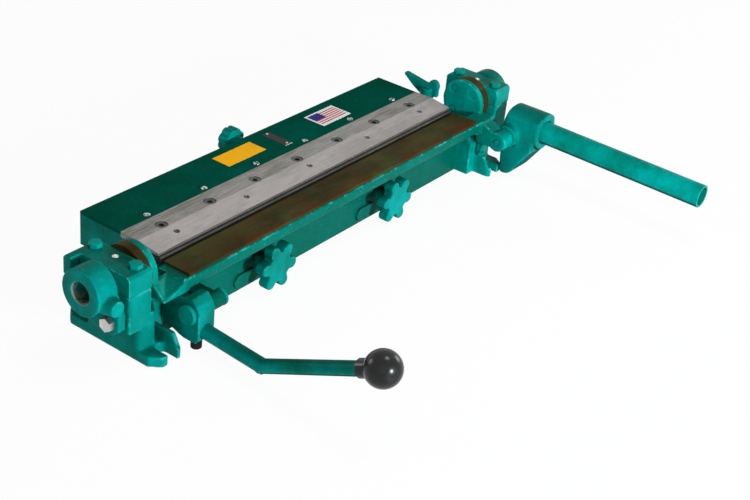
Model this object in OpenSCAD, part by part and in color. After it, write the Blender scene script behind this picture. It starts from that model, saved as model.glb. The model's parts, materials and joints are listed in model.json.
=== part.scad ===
// Bench bending brake: cast bed between two end frames, a clamp beam with a
// steel nose bar, and an apron that swings about the bend line.
// X runs along the bend, -Y is the operator's side, Z = 0 is the bench.
// The origin lies on the bench, plumb below the middle of the bend line.

/* [Bend line] */
// Length of the nose bar and of the longest bend
bend_len = 610; // [560:5:760]
// Height of the bend line above the bench
bend_h = 100; // [99:0.5:104]

/* [Nose bar] */
// Depth of the nose bar from front edge to cover
nose_depth = 62.5; // [58:0.5:64]
// Height of the blunt front edge
nose_edge = 3.5; // [2.5:0.5:4]
// Rise of the ridge above the bend line
nose_rise = 5.6; // [5:0.2:7]
// Distance of the ridge behind the front edge
ridge_y = 32; // [28:1:36]
// Radius of the large screw heads
nose_screw_r = 8; // [6:0.5:9]
// Radius of the small screw heads in the front facet
edge_screw_r = 4; // [3:0.5:5]

/* [Clamp beam] */
// Rear face of the clamp beam
beam_rear = 132.7; // [130:0.1:140]
// Thickness of the top cover
cover_t = 4; // [3:0.5:5]
// Gap between nose bar and lower jaw with the clamp closed
sheet_gap = 1; // [0.5:0.1:1.5]
// Radius of the guide posts
post_r = 8; // [6:0.5:10]

/* [Bed] */
// Front face of the bed, forward of the bend line
bed_front = 16; // [14:1:18]
// Thickness of the bed floor
floor_t = 10; // [8:0.5:12]
// Drop from the bend line to the step in the front wall
bed_step_drop = 42; // [40:1:46]

/* [End frames] */
// Forward reach of the feet
foot_front = 68; // [64:1:72]
// Rear reach of the feet
foot_rear = 86; // [82:1:92]
// Thickness of the feet
foot_t = 14; // [12:1:15]
// Width of the open slots in the feet
foot_slot = 16; // [11:0.5:17]
// Half depth of the bearing blocks
block_half = 46; // [44:1:50]
// Height of the bearing caps above the bend line
cap_h = 26; // [25:1:30]

/* [Apron] */
// Forward reach of the apron
apron_front = 53; // [50:1:58]
// Depth of the apron bar below the bend line
apron_drop = 27; // [24:1:28]
// Radius of the end discs and trunnion flanges
disc_r = 34; // [30:1:36]
// Radius of the trunnion pins
pin_r = 14.2; // [12:0.1:15]
// Outer radius of the end collars
collar_r = 30; // [26:1:32]

/* [Handle] */
// Outer radius of the handle pipe
pipe_r = 16.7; // [14:0.1:18]
// Wall of the handle pipe
pipe_wall = 3.4; // [2.5:0.1:4]
// Forward reach of the handle pipe
pipe_reach = 385; // [300:5:500]
// Outer radius of the handle socket
socket_r = 27; // [25:0.5:28]

/* [Clamp lever] */
// Radius of the lever rod
rod_r = 9.5; // [8:0.5:10]
// Radius of the ball knob
ball_r = 22.3; // [18:0.1:26]
// Forward reach of the ball centre
ball_reach = 333; // [300:1:380]

/* [Hand knobs] */
// Radius of a front knob over its lobes
knob_r = 33; // [28:1:35]
// Radius of the rear knob
rear_knob_r = 19; // [15:0.5:22]

/* [Hidden] */
$fn = 48;
// Overrun of every cut past the face it opens
over = 1;
// Side clearance between parts that pass each other
side_gap = 0.5;
// Radial clearance of running shafts
run_gap = 0.05;
// Clearance of a cam in its yoke
cam_gap = 0.3;
// Clearance of a screw head in its counterbore
head_gap = 0.4;

// Stations along the machine, from the middle outwards
wall = 14;
bed_out = 10;
riser_w = 16;
disc_gap = 7;
disc_t = 10;
flange_room = 13;
block_w = 36;
foot_w = 44;
collar_gap = 1;
collar_len = 30;
slot_in = 16;
cap_bolt_in = 13;
pin_seat = 8;
half = bend_len / 2;
bed_x = half + bed_out;
plate_x = half + side_gap;
web_x = bed_x + riser_w;
disc_x0 = web_x + disc_gap;
disc_x1 = disc_x0 + disc_t;
block_x0 = disc_x1 + flange_room;
block_x1 = block_x0 + block_w;
foot_x1 = web_x + foot_w;
collar_x0 = block_x1 + collar_gap;
collar_x1 = collar_x0 + collar_len;
slot_x = web_x + slot_in;
bolt_x = block_x0 + cap_bolt_in;
pin_x1 = collar_x0 + pin_seat;

// Heights
jaw_t = 8.5;
shelf_t = 8;
deck_drop = 15;
cover_rise = 5;
jaw_top = bend_h - nose_edge;
shelf_top = jaw_top - jaw_t;
shelf_base = shelf_top - shelf_t;
nose_base = jaw_top + sheet_gap;
deck_base = bend_h - deck_drop;
cover_top = bend_h + cover_rise;
cover_base = cover_top - cover_t;
cheek_drop = 42;
cheek_low = bend_h - cheek_drop;

// Cross shaft, cams and crank
shaft_y = 75;
shaft_lift = 5.5;
shaft_z = (floor_t + deck_base) / 2 + shaft_lift;
shaft_r = 9.5;
cam_r = 20;
cam_throw = 8;
cam_angle = 30;
cam_dy = -cam_throw * cos(cam_angle);
cam_dz = -cam_throw * sin(cam_angle);
cam_in = 83;
cam_w = 16;
cam_x0 = half - cam_in;
arm_dy = 7;
link_rise = 15;
link_z = floor_t + link_rise;
arm_dz = link_z - shaft_z;
crank_r = 5;

// Clamp lever
pivot_y = -65;
pivot_z = shaft_z;
pivot_r = 8;
hub_w = 27.5;
plate_w = 12;
hub_x0 = side_gap - half - riser_w + over;
hub_x1 = hub_x0 + hub_w;
rod_in_hub = 13.5;
rod_x = hub_x0 + rod_in_hub;
link_gap = 4;
link_w = 9;
link_x0 = hub_x1 + link_gap;
link_x1 = link_x0 + link_w;
crank_x0 = hub_x1 - link_w + over;

// Guide posts and front knobs
post_in = 125;
post_x = half - post_in;
post_y = 100;
knob_in = 51;
knob_x = (half - knob_in) / 2;
knob_gap = 4;
knob_z = bend_h - apron_drop - knob_gap - knob_r;
knob_shift = 13;

// Prism along X of a shape drawn as (y, z)
module along_x(x0, x1) {
  translate([x0, 0, 0])
    rotate([90, 0, 90])
      linear_extrude(height = x1 - x0) children();
}

// Prism along Y of a shape drawn as (x, z)
module along_y(y0, y1) {
  translate([0, y1, 0])
    rotate([90, 0, 0])
      linear_extrude(height = y1 - y0) children();
}

// Round bar along X through (y, z)
module bar_x(x0, x1, y, z, r) {
  translate([x0, y, z])
    rotate([0, 90, 0])
      cylinder(h = x1 - x0, r = r);
}

// Round bar along Y through (x, z)
module bar_y(y0, y1, x, z, r) {
  translate([x, y1, z])
    rotate([90, 0, 0])
      cylinder(h = y1 - y0, r = r);
}

// Round bar along Z through (x, y)
module bar_z(z0, z1, x, y, r) {
  translate([x, y, z0])
    cylinder(h = z1 - z0, r = r);
}

// Box between two corners
module block(a, b) {
  translate(a)
    cube(b - a);
}

module pair() {
  children();
  mirror([1, 0, 0])
    children();
}

// Hexagon prism along Z with its corners on radius r
module hex_z(z0, z1, x, y, r) {
  translate([x, y, z0])
    linear_extrude(height = z1 - z0)
      circle(r = r, $fn = 6);
}

// Hexagon prism along X with its corners on radius r
module hex_x(x0, x1, y, z, r) {
  translate([x0, y, z])
    rotate([0, 90, 0])
      linear_extrude(height = x1 - x0)
        circle(r = r, $fn = 6);
}

// Outline given in shares of the box between two corners
function fit(shares, low, high) =
  [for (s = shares) [low[0] + s[0] * (high[0] - low[0]),
    low[1] + s[1] * (high[1] - low[1])]];

// Even row of count places, kept an inset away from both ends
function row(i, count, inset) = inset - half + i * (bend_len - 2 * inset) / (count - 1);

// Bed
bed_rear = 128;
bed_step_h = bend_h - bed_step_drop;
rear_gap = 4;
bed_rear_h = cheek_low - rear_gap;
upper_front = -4;
bed_slope = 8;
bed_end_h = bed_step_h + bed_slope;
shelf_rear = 36;
rib_t = 12;
rib_out = 20;
rib_x = half / 2 + rib_out;
rib_inset = 2;
plate_rise = 19;
plate_half = 18;
plate_skirt = 6;
window_low = 12;
window_high = 21;
window_z0 = link_z - window_low;
window_z1 = link_z + window_high;
window_out = 9;
window_w = 24;
window_x0 = window_out - half;
window_x1 = window_x0 + window_w;
bush_r = 13;
post_foot = 6;
stud_r = 6;
pad_shift = 38;
pad_z = 14;
pad_t = 3;
pad_half = 11;
pad_r = 10;
jaw_screw_y = 22;
jaw_screw_r = 3;
jaw_head_r = 5;
jaw_head_h = 5;
jaw_cover = 2;
jaw_inset = 30;
jaw_count = 5;
arm_w = 25;
arm_r = 10.5;
arm_top = 7;
arm_x0 = hub_x1 + side_gap;
arm_x1 = arm_x0 + arm_w;

module bed_section() {
  polygon([[-bed_front, 0], [bed_rear, 0], [bed_rear, bed_rear_h],
    [bed_rear - wall, bed_rear_h], [bed_rear - wall, floor_t],
    [wall - bed_front, floor_t], [wall - bed_front, bed_step_h],
    [wall + upper_front, bed_end_h], [wall + upper_front, shelf_base],
    [shelf_rear, shelf_base], [shelf_rear, shelf_top],
    [upper_front, shelf_top], [upper_front, bed_end_h],
    [-bed_front, bed_step_h]]);
}

module bed_end_plate() {
  polygon([[-bed_front, 0], [bed_rear, 0], [bed_rear, bed_rear_h],
    [shaft_y + plate_half + plate_skirt, bed_rear_h],
    [shaft_y + plate_half, shaft_z + plate_rise],
    [shaft_y - plate_half, shaft_z + plate_rise],
    [shaft_y - plate_half - plate_skirt, bed_step_h],
    [-bed_front, bed_step_h]]);
}

module bed_casting() {
  color("teal")
    difference() {
      union() {
        along_x(-bed_x, bed_x)
          bed_section();
        pair()
          along_x(plate_x, bed_x)
            bed_end_plate();
        for (x = [-rib_x, -rib_x / 3, rib_x / 3, rib_x])
          block([x - rib_t / 2, upper_front + over, floor_t - over],
            [x + rib_t / 2, shelf_rear - rib_inset, shelf_base + over]);
        for (x = [-knob_x, knob_x])
          translate([x - pad_shift, 0, pad_z])
            along_y(-bed_front - pad_t, -bed_front + over)
              pad_shape();
        // Arm that carries the lever's pivot bolt in front of the bed
        bar_x(arm_x0, arm_x1, pivot_y, pivot_z, arm_r);
        block([arm_x0, pivot_y, pivot_z - arm_top],
          [arm_x1, over - bed_front, pivot_z + arm_top - side_gap - over]);
      }
      bar_x(arm_x0 - over, arm_x1 + over, pivot_y, pivot_z, pivot_r);
      bar_x(-bed_x - over, bed_x + over, shaft_y, shaft_z, bush_r);
      block([window_x0, -bed_front - over, window_z0],
        [window_x1, wall, window_z1]);
      pair()
        bar_z(floor_t - post_foot, floor_t + over, post_x, post_y, post_r);
      for (x = [-knob_x, knob_x])
        bar_y(-bed_front - over, wall, x - knob_shift, knob_z, stud_r);
      for (i = [0:jaw_count - 1])
        bar_z(shelf_base - over, shelf_top + over, row(i, jaw_count, jaw_inset),
          jaw_screw_y, jaw_screw_r);
      end_bolt_holes();
    }
}

// Raised oval pad on the front wall
module pad_shape() {
  for (x = [-pad_half, pad_half])
    translate([x, 0])
      circle(r = pad_r);
  translate([-pad_half, -pad_r])
    square([2 * pad_half, 2 * pad_r]);
}

module lower_jaw() {
  color("silver")
    difference() {
      along_x(-half, half)
        polygon([[upper_front, shelf_top], [shelf_rear - rib_inset, shelf_top],
          [shelf_rear - rib_inset, jaw_top], [upper_front + over, jaw_top],
          [upper_front, jaw_top - over]]);
      for (i = [0:jaw_count - 1])
        bar_z(shelf_top - over, jaw_top - jaw_cover,
          row(i, jaw_count, jaw_inset), jaw_screw_y, jaw_screw_r);
    }
}

module jaw_screws() {
  color("dimgray")
    for (i = [0:jaw_count - 1]) {
      bar_z(shelf_base, jaw_top - jaw_cover, row(i, jaw_count, jaw_inset),
        jaw_screw_y, jaw_screw_r);
      bar_z(shelf_base - jaw_head_h, shelf_base,
        row(i, jaw_count, jaw_inset), jaw_screw_y, jaw_head_r);
    }
}

module guide_posts() {
  color("silver")
    pair()
      bar_z(floor_t - post_foot, deck_base - over, post_x, post_y, post_r);
}

module shaft_bushes() {
  color("goldenrod")
    pair()
      difference() {
        bar_x(plate_x, bed_x, shaft_y, shaft_z, bush_r);
        bar_x(plate_x - over, bed_x + over, shaft_y, shaft_z,
          shaft_r + run_gap);
      }
}

// End frames
riser_drop = 40;
riser_top = bend_h - riser_drop;
riser_front = 40;
left_riser_front = 20;
riser_slope = 36;
riser_heel = 44;
riser_nose = 8;
block_drop = 51;
block_base = bend_h - block_drop;
column_in = 14;
column_r = 8;
slot_end = 50;
slot_back = 64;
toe_cut = 11;
toe_round = 14;
toe_inner = 4;
heel_cut = 10;
toe_rib_w = 6;
toe_rib_h = 30;
toe_rib_back = 12;
toe_rib_top = 4;
heel_h = 26;
heel_run = 8;
heel_back = 22;
bush_out = 20;
end_bolt_r = 5;
end_head_r = 9;
end_head_h = 7;
end_pocket = 3;
end_bolt_ys = [18, 102];
end_bolt_z = 32;

module end_bolt_holes() {
  pair()
    for (y = end_bolt_ys)
      bar_x(plate_x - over, web_x + over, y, end_bolt_z, end_bolt_r);
}

module foot_plan(front) {
  polygon([[bed_x, foot_rear], [bed_x, -front], [web_x, -front],
    [web_x, toe_inner - foot_front], [web_x + toe_inner, -foot_front],
    [foot_x1 - toe_cut, -foot_front], [foot_x1, toe_round - foot_front],
    [foot_x1, foot_rear - heel_cut], [foot_x1 - heel_cut, foot_rear]]);
}

module foot_slots() {
  bar_z(-over, heel_h + over, slot_x, -slot_end, foot_slot / 2);
  block([slot_x - foot_slot / 2, -foot_front - over, -over],
    [slot_x + foot_slot / 2, -slot_end, heel_h + over]);
  bar_z(-over, heel_h + over, slot_x, slot_back, foot_slot / 2);
  block([slot_x - foot_slot / 2, slot_back, -over],
    [slot_x + foot_slot / 2, foot_rear + over, heel_h + over]);
}

// Round-cornered column that stands on the foot below the bearing block
module column_plan() {
  x0 = web_x + column_in;
  for (x = [x0 + column_r, foot_x1 - column_r])
    translate([x, column_r - riser_front])
      circle(r = column_r);
  polygon([[x0, column_r - riser_front], [x0 + column_r, -riser_front],
    [foot_x1 - column_r, -riser_front], [foot_x1, column_r - riser_front],
    [foot_x1, block_half], [x0, block_half]]);
}

module frame_body(front) {
  difference() {
    union() {
      difference() {
        union() {
          linear_extrude(height = foot_t)
            foot_plan(front);
          along_x(web_x, web_x + toe_rib_w)
            polygon([[over - front, 0], [over - front, toe_rib_h],
              [toe_rib_back - foot_front, toe_rib_h],
              [toe_rib_top - foot_front, foot_t + over],
              [toe_rib_top - foot_front, 0]]);
          along_x(web_x, foot_x1 - heel_cut)
            polygon([[foot_rear - heel_back, 0],
              [foot_rear - heel_back, foot_t + over],
              [foot_rear - heel_back + heel_run, heel_h],
              [foot_rear - heel_run / 2, heel_h],
              [foot_rear, heel_h - heel_run], [foot_rear, 0]]);
        }
        foot_slots();
      }
      along_x(bed_x, web_x)
        polygon([[-front, 0], [foot_rear + riser_slope - heel_cut, 0],
          [foot_rear + riser_slope - heel_cut, riser_heel],
          [foot_rear - heel_cut, riser_top],
          [riser_nose - front, riser_top],
          [-front, riser_top - heel_cut]]);
      along_x(web_x - over, web_x + column_in + over)
        polygon([[riser_nose - left_riser_front, 0],
          [slot_back - riser_nose - heel_run, 0],
          [block_half, riser_top], [riser_nose - left_riser_front, riser_top]]);
      linear_extrude(height = riser_top)
        column_plan();
      block([block_x0, -block_half, block_base],
        [block_x1, block_half, bend_h]);
    }
    bar_x(block_x0 - over, block_x1 + over, 0, bend_h, bush_out);
    for (y = [-cap_bolt_y, cap_bolt_y])
      bar_z(bend_h - cap_bolt_depth, bend_h + over, bolt_x, y, cap_bolt_r);
    for (y = end_bolt_ys)
      bar_x(plate_x - over, web_x + over, y, end_bolt_z, end_bolt_r);
    // Pocket that leaves room for the bolt head behind the riser
    bar_x(web_x, foot_x1 + over, end_bolt_ys[0], end_bolt_z,
      end_head_r + end_pocket);
  }
}

module left_end_frame() {
  color("teal")
    mirror([1, 0, 0])
      frame_body(left_riser_front);
}

wing_in = 16;
wing_half = 8;
wing_y = 58;
wing_post_half = 14;
wing_drop = 12;
wing_x = bed_x + wing_in;
wing_base = bend_h - wing_drop;
rest_y = -47;
rest_r = 2.5;
rest_depth = 12;
rest_nut_r = 5;
rest_nut_h = 5;
rest_x = web_x + toe_rib_w / 2;

module right_end_frame() {
  color("teal")
    difference() {
      union() {
        frame_body(riser_front);
        block([wing_x - wing_half, wing_y - wing_post_half, 0],
          [wing_x + wing_half, wing_y + wing_post_half, wing_base]);
      }
      bar_z(wing_base - stud_depth, wing_base + over, wing_x, wing_y,
        stud_r);
      bar_z(toe_rib_h - rest_depth, toe_rib_h + over, rest_x, rest_y,
        rest_r);
    }
}

// Set screw on which the apron's lug rests when the apron is down
module apron_rest_screw() {
  color("teal") {
    bar_z(toe_rib_h - rest_depth, horn_low - side_gap, rest_x, rest_y,
      rest_r);
    hex_z(toe_rib_h, toe_rib_h + rest_nut_h, rest_x, rest_y, rest_nut_r);
  }
}

cap_bolt_y = 32.5;
cap_bolt_r = 5;
cap_bolt_depth = 34;
cap_head_r = 8.5;
cap_head_h = 6;
cap_chamfer = 4;
ledge_w = 14;
ledge_y = 33;

module cap_section() {
  polygon([[-block_half, bend_h], [block_half, bend_h],
    [block_half, bend_h + cap_h - cap_chamfer],
    [block_half - cap_chamfer, bend_h + cap_h],
    [cap_chamfer - block_half, bend_h + cap_h],
    [-block_half, bend_h + cap_h - cap_chamfer]]);
}

module bearing_cap() {
  difference() {
    children();
    bar_x(block_x0 - over, block_x1 + over, 0, bend_h, bush_out);
    for (y = [-cap_bolt_y, cap_bolt_y])
      bar_z(bend_h - over, bend_h + cap_h + over, bolt_x, y, cap_bolt_r);
    bar_z(bend_h, bend_h + cap_h + over, bolt_x, 0, oil_r);
  }
}

module left_bearing_cap() {
  color("teal")
    mirror([1, 0, 0])
      bearing_cap()
        union() {
          along_x(block_x0, block_x1)
            cap_section();
          // Ledge behind the stop collar
          along_x(block_x1 - over, block_x1 + ledge_w)
            polygon([[ledge_y, bend_h], [block_half, bend_h],
              [block_half, bend_h + cap_h - cap_chamfer],
              [block_half - cap_chamfer, bend_h + cap_h],
              [ledge_y, bend_h + cap_h]]);
        }
}

module right_bearing_cap() {
  color("teal")
    bearing_cap()
      along_x(block_x0, block_x1)
        cap_section();
}

module cap_bolts() {
  color("teal")
    pair()
      for (y = [-cap_bolt_y, cap_bolt_y]) {
        bar_z(bend_h - cap_bolt_depth, bend_h + cap_h, bolt_x, y, cap_bolt_r);
        hex_z(bend_h + cap_h, bend_h + cap_h + cap_head_h, bolt_x, y,
          cap_head_r);
      }
}

oil_r = 3;
oil_cap = 1;
oil_ball_r = 2;

// Ball oilers pressed into the caps
module oil_cups() {
  color("silver")
    pair() {
      bar_z(bend_h + bush_out + over, bend_h + cap_h, bolt_x, 0, oil_r);
      bar_z(bend_h + cap_h, bend_h + cap_h + oil_cap, bolt_x, 0,
        oil_r + oil_cap);
      translate([bolt_x, 0, bend_h + cap_h + oil_cap])
        sphere(r = oil_ball_r);
    }
}

module bearing_bushes() {
  color("goldenrod")
    pair()
      difference() {
        bar_x(block_x0, block_x1, 0, bend_h, bush_out);
        bar_x(block_x0 - over, block_x1 + over, 0, bend_h, pin_r + run_gap);
      }
}

module end_frame_bolts() {
  color("teal")
    pair()
      for (y = end_bolt_ys) {
        bar_x(plate_x, web_x, y, end_bolt_z, end_bolt_r);
        hex_x(web_x, web_x + end_head_h, y, end_bolt_z, end_head_r);
      }
}

// Clamp beam
deck_front = 38;
cheek_t = 11;
cheek_gap = 5;
cheek_under = shaft_z + bush_r + cheek_gap;
cheek_slope = 10;
cheek_inset = 2;
boss_r = 15;
boss_drop = 40;
boss_low = bend_h - boss_drop;
post_top_gap = 8;
yoke_ahead = 37;
yoke_behind = 23;
yoke_front = shaft_y - yoke_ahead;
yoke_back = shaft_y + yoke_behind;
yoke_drop = 33;
yoke_low = shaft_z - yoke_drop;
yoke_room = 1.5;
yoke_room_back = 2;
flange_t = 6;
flange_w = 12;
yoke_inset = 12;
yoke_screw_r = 3;
yoke_head_r = 5;
yoke_head_h = 4;
yoke_grip = 8;
beam_wall = 10.7;
nose_hole_y = 41;
nose_shank_r = 4;
nose_grip = 10;
cover_screw_y = 69.5;
cover_shank_r = 2.5;
cover_grip = 8;
nose_count = 7;
nose_inset = 47;
edge_count = 5;
cover_count = 6;
edge_inset = 51;

module clamp_beam() {
  color("teal")
    difference() {
      union() {
        along_x(-half, half)
          polygon([[deck_front, deck_base], [beam_rear - beam_wall, deck_base],
            [beam_rear - beam_wall, cheek_low + over],
            [beam_rear, cheek_low + over], [beam_rear, cover_base],
            [nose_depth, cover_base], [nose_depth, nose_base],
            [deck_front, nose_base]]);
        pair()
          along_x(half - cheek_t, half)
            polygon([[post_y, cheek_low], [beam_rear, cheek_low],
              [beam_rear, cover_base], [nose_depth + cheek_inset, cover_base],
              [nose_depth + cheek_inset, deck_base],
              [nose_depth + cheek_inset + cheek_slope, cheek_under],
              [post_y, cheek_under]]);
        pair()
          bar_z(boss_low, deck_base + over, post_x, post_y, boss_r);
      }
      pair()
        bar_z(boss_low - over, deck_base + post_top_gap, post_x, post_y,
          post_r + run_gap);
      bar_y(beam_rear - stud_depth, beam_rear + over, rear_knob_x,
        rear_knob_z, rear_stud_r);
      for (i = [0:nose_count - 1])
        bar_z(nose_base - nose_grip, nose_base + over,
          row(i, nose_count, nose_inset), nose_hole_y, nose_shank_r);
      for (i = [0:cover_count - 1])
        bar_z(cover_base - cover_grip, cover_base + over,
          row(i, cover_count, edge_inset), cover_screw_y, cover_shank_r);
      yoke_screw_spots()
        bar_z(deck_base - over, deck_base + yoke_grip, 0, 0, yoke_screw_r);
    }
}

module yoke_screw_spots() {
  pair()
    for (x = [cam_x0 - flange_w / 2, cam_x0 + cam_w + flange_w / 2])
      for (y = [yoke_front + yoke_inset, yoke_back - yoke_inset])
        translate([x, y, 0])
          children();
}

module clamp_yokes() {
  color("gray")
    difference() {
      pair()
        difference() {
          union() {
            block([cam_x0, yoke_front, yoke_low],
              [cam_x0 + cam_w, yoke_back, deck_base]);
            block([cam_x0 - flange_w, yoke_front, deck_base - flange_t],
              [cam_x0 + cam_w + flange_w, yoke_back, deck_base]);
          }
          block([cam_x0 - over, shaft_y - cam_throw - cam_r - yoke_room,
              shaft_z + cam_dz - cam_r - cam_gap],
            [cam_x0 + cam_w + over, shaft_y + cam_dy + cam_r + yoke_room_back,
              shaft_z + cam_dz + cam_r + cam_gap]);
        }
      yoke_screw_spots()
        bar_z(deck_base - flange_t - over, deck_base + over, 0, 0,
          yoke_screw_r);
    }
}

module yoke_screws() {
  color("dimgray")
    yoke_screw_spots() {
      bar_z(deck_base - flange_t, deck_base + yoke_grip, 0, 0, yoke_screw_r);
      bar_z(deck_base - flange_t - yoke_head_h, deck_base - flange_t, 0, 0,
        yoke_head_r);
    }
}

nose_head_h = 5;
nose_sink = 1;
edge_screw_y = 19;
edge_rise = 2.6;
nose_top = bend_h + nose_rise;
socket_floor = nose_top - nose_head_h + nose_sink;

module nose_bar() {
  color("lightgray")
    difference() {
      along_x(-half, half)
        polygon([[0, nose_base], [nose_depth, nose_base],
          [nose_depth, cover_top], [ridge_y, nose_top],
          [0, nose_base + nose_edge]]);
      for (i = [0:nose_count - 1]) {
        bar_z(nose_base - over, nose_top + over,
          row(i, nose_count, nose_inset), nose_hole_y, nose_shank_r);
        bar_z(nose_top - nose_head_h - head_gap, nose_top + over,
          row(i, nose_count, nose_inset), nose_hole_y,
          nose_screw_r + head_gap);
      }
      for (i = [0:edge_count - 1])
        bar_z(nose_base + over, nose_top + over,
          row(i, edge_count, edge_inset), edge_screw_y, edge_screw_r);
    }
}

module nose_screws() {
  color("dimgray")
    for (i = [0:nose_count - 1])
      difference() {
        union() {
          bar_z(nose_base - nose_grip, nose_top - nose_head_h - head_gap,
            row(i, nose_count, nose_inset), nose_hole_y, nose_shank_r);
          bar_z(nose_top - nose_head_h - head_gap, nose_top - nose_sink,
            row(i, nose_count, nose_inset), nose_hole_y, nose_screw_r);
        }
        hex_z(socket_floor, nose_top, row(i, nose_count, nose_inset),
          nose_hole_y, nose_screw_r / 2);
      }
}

module nose_edge_screws() {
  color("dimgray")
    for (i = [0:edge_count - 1])
      bar_z(nose_base + over, bend_h + edge_rise,
        row(i, edge_count, edge_inset), edge_screw_y, edge_screw_r);
}

cover_head_r = 4.5;
cover_head_h = 1.2;

module top_cover() {
  color("darkslategray")
    difference() {
      block([-half, nose_depth, cover_base], [half, beam_rear, cover_top]);
      for (i = [0:cover_count - 1])
        bar_z(cover_base - over, cover_top + over,
          row(i, cover_count, edge_inset), cover_screw_y, cover_shank_r);
    }
}

module cover_screws() {
  color("silver")
    for (i = [0:cover_count - 1]) {
      bar_z(cover_base - cover_grip, cover_top,
        row(i, cover_count, edge_inset), cover_screw_y, cover_shank_r);
      bar_z(cover_top, cover_top + cover_head_h,
        row(i, cover_count, edge_inset), cover_screw_y, cover_head_r);
    }
}

// Labels on the cover: thickness, then near left and far right corners
label_t = 0.4;
yellow_near = [-84, 88];
yellow_far = [-9.5, 118.5];
small_near = [19, 77];
small_far = [33, 121];
striped_near = [107, 81];
striped_far = [169, 117.5];
rivet_inset = 4;
rivet_h = 1;
rivet_r = 1.8;

module label(near, far) {
  block([near[0], near[1], cover_top], [far[0], far[1], cover_top + label_t]);
}

module yellow_label() {
  color("yellow")
    label(yellow_near, yellow_far);
}

module small_plate() {
  color("silver")
    label(small_near, small_far);
}

module plate_rivets() {
  color("silver")
    for (y = [small_near[1] + rivet_inset, small_far[1] - rivet_inset])
      bar_z(cover_top + label_t, cover_top + label_t + rivet_h,
        (small_near[0] + small_far[0]) / 2, y, rivet_r);
}

module striped_label() {
  color("white")
    label(striped_near, striped_far);
}

// Apron
plate_drop = 8;
plate_t = 3.7;
plate_lip = 2.5;
apron_top = bend_h - plate_drop;
apron_low = bend_h - apron_drop;
face_top = apron_top + plate_t;
apron_back = -9.5;
apron_chamfer = 5;
flange_gap = 0.5;
trunnion_pcd = 24;
trunnion_screw_r = 3;
trunnion_head_r = 5;
trunnion_head_h = 4;
trunnion_grip = 8;
web_back = 24;
face_count = 5;
face_inset = 45;
face_y = -30;
face_shank_r = 2.5;
face_bite = 2.2;
face_head_r = 5;
face_head_h = 4;

// Lug that reaches forward from the apron and carries the handle
horn_in = 3;
horn_w = 24;
horn_x0 = bed_x + horn_in;
horn_x1 = horn_x0 + horn_w;
horn_y = -80;
horn_drop = 32;
horn_r = 15;
horn_z = bend_h - horn_drop;
horn_root_y = -44;
horn_share = 0.8;
horn_shoulder = 5;
horn_low = horn_z - horn_share * horn_r;

module horn_outline() {
  translate([horn_y, horn_z])
    circle(r = horn_r);
  polygon([[-apron_front + over, apron_top - over], [horn_root_y, apron_top - over],
    [horn_root_y, horn_low], [horn_y + horn_share * horn_r, horn_low],
    [horn_y, horn_z], [horn_y + horn_shoulder, horn_z + horn_share * horn_r]]);
}

module apron() {
  color("teal")
    difference() {
      union() {
        along_x(-bed_x, bed_x)
          polygon([[apron_back, apron_low],
            [apron_back, apron_top], [-apron_front, apron_top],
            [-apron_front, apron_low + apron_chamfer],
            [apron_chamfer - apron_front, apron_low]]);
        pair()
          block([half, -apron_front, apron_low],
            [disc_x1, -web_back, apron_top]);
        pair()
          bar_x(disc_x0, disc_x1, 0, bend_h, disc_r);
        along_x(horn_x0, horn_x1)
          horn_outline();
      }
      pair()
        for (a = screw_angles)
          rotate_about_bend(a) {
            bar_x(disc_x0 - over, disc_x1 + over, trunnion_pcd, 0,
              trunnion_screw_r);
            bar_x(disc_x0 - over, disc_x0 + trunnion_head_h, trunnion_pcd, 0,
              trunnion_head_r);
          }
      bar_x(horn_x0 - over, horn_x1 + over, horn_y, horn_z, lug_bolt_r);
      bar_x(horn_x1 - dowel_in, horn_x1 + over, horn_y + dowel_shift, horn_z,
        dowel_r);
      for (i = [0:face_count - 1]) {
        bar_z(apron_low - over, apron_top + over,
          row(i, face_count, face_inset), face_y, face_shank_r);
        bar_z(apron_low - over, apron_low + face_head_h,
          row(i, face_count, face_inset), face_y, face_head_r);
      }
    }
}

screw_angles = [45, 135, 225, 315];

module rotate_about_bend(a) {
  translate([0, 0, bend_h])
    rotate([a, 0, 0])
      children();
}

module apron_face_plate() {
  color("saddlebrown")
    difference() {
      along_x(-half, half)
        polygon([[apron_back, apron_top], [apron_back, face_top],
          [plate_lip - apron_front, face_top],
          [plate_lip - apron_front, apron_top]]);
      for (i = [0:face_count - 1])
        bar_z(apron_top - over, apron_top + face_bite,
          row(i, face_count, face_inset), face_y, face_shank_r);
    }
}

// Screws that hold the face plate from below
module face_plate_screws() {
  color("dimgray")
    for (i = [0:face_count - 1]) {
      bar_z(apron_low + face_head_h, apron_top + face_bite,
        row(i, face_count, face_inset), face_y, face_shank_r);
      bar_z(apron_low + over, apron_low + face_head_h,
        row(i, face_count, face_inset), face_y, face_head_r);
    }
}

module trunnion() {
  difference() {
    union() {
      bar_x(disc_x1, block_x0 - flange_gap, 0, bend_h, disc_r);
      bar_x(disc_x1, pin_x1, 0, bend_h, pin_r);
    }
    for (a = screw_angles)
      rotate_about_bend(a)
        bar_x(disc_x1 - over, disc_x1 + trunnion_grip, trunnion_pcd, 0,
          trunnion_screw_r);
  }
}

module left_trunnion() {
  color("saddlebrown")
    mirror([1, 0, 0])
      trunnion();
}

module right_trunnion() {
  color("saddlebrown")
    trunnion();
}

module trunnion_screws() {
  color("teal")
    pair()
      for (a = screw_angles)
        rotate_about_bend(a) {
          bar_x(disc_x0 + trunnion_head_h, disc_x1 + trunnion_grip,
            trunnion_pcd, 0, trunnion_screw_r);
          bar_x(disc_x0, disc_x0 + trunnion_head_h, trunnion_pcd, 0,
            trunnion_head_r);
        }
}

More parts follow.
